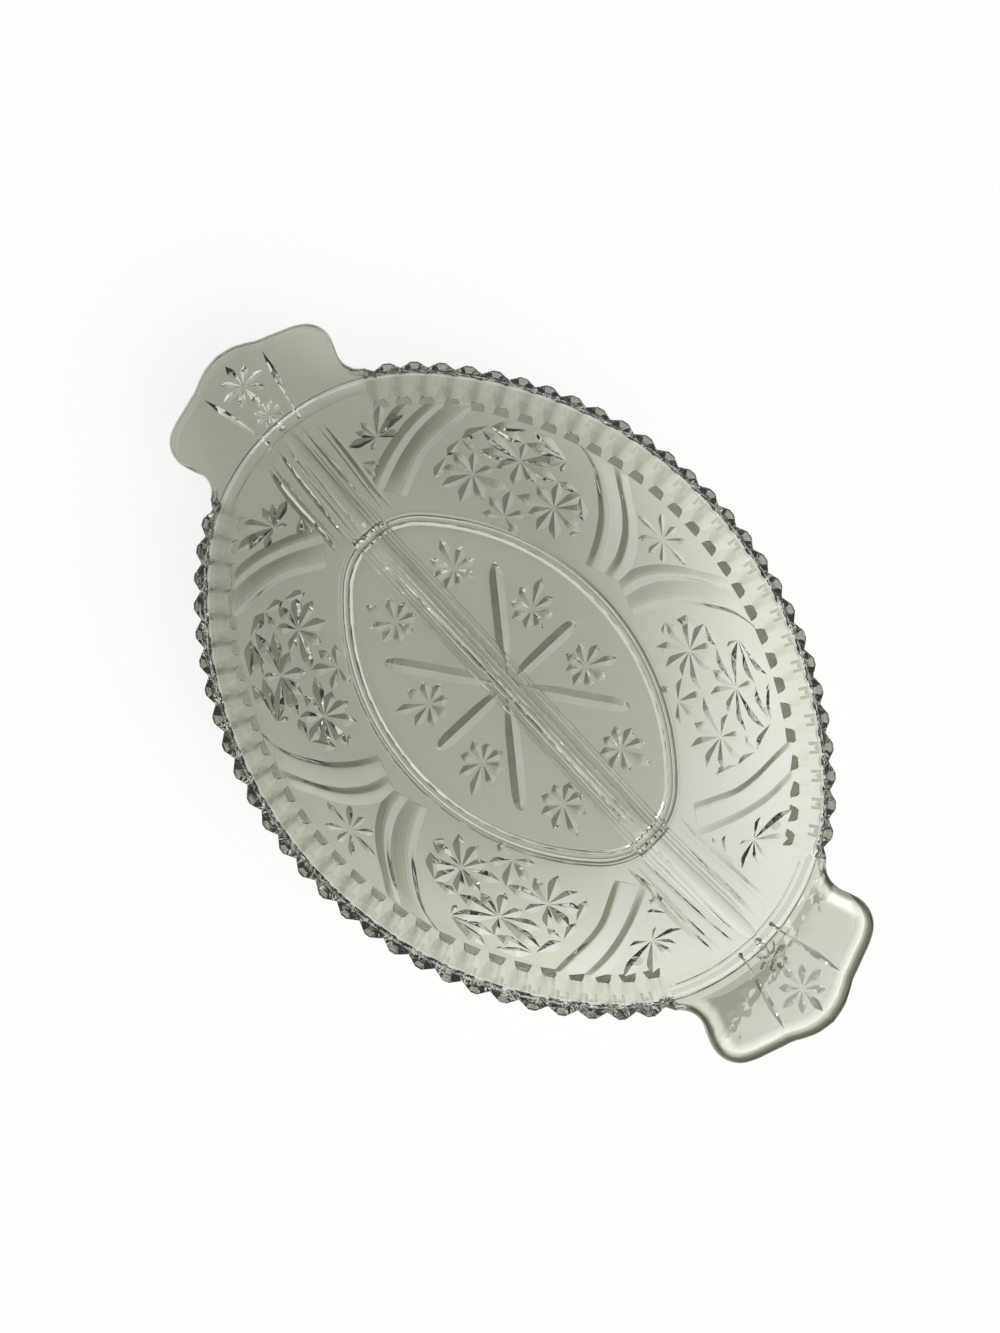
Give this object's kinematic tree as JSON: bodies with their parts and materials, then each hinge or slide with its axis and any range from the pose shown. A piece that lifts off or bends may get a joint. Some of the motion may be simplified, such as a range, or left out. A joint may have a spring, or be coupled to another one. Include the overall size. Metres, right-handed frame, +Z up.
{
  "type": "relish tray",
  "caption": "Oval pressed-glass relish tray parted lengthwise by a low divider, with a sawtooth rim, star-cut wall and floor, and a lobed handle at each end.",
  "frame": {"origin": "middle of the tray on the table, at the bottom of the foot ring", "axes": "+X along the tray towards the right handle, +Y across it towards the back, +Z up out of the bowl"},
  "size_m": [0.252, 0.1572, 0.036],
  "materials": {
    "pressed_glass": "fire-polished clear soda-lime glass with a faint grey-green tint"
  },
  "bodies": {
    "root": {"floor_plate": "pressed_glass", "foot_ring": "pressed_glass", "divider_middle": "pressed_glass", "divider_end_right": "pressed_glass", "divider_end_left": "pressed_glass", "medallion_panel_back_right": "pressed_glass", "medallion_panel_back_left": "pressed_glass", "medallion_panel_front_right": "pressed_glass", "medallion_panel_front_left": "pressed_glass", "middle_panel_back": "pressed_glass", "middle_panel_front": "pressed_glass", "end_panel_right": "pressed_glass", "end_panel_left": "pressed_glass", "rim_back": "pressed_glass", "rim_front": "pressed_glass", "handle_right": "pressed_glass", "handle_left": "pressed_glass"}
  },
  "joints": []
}
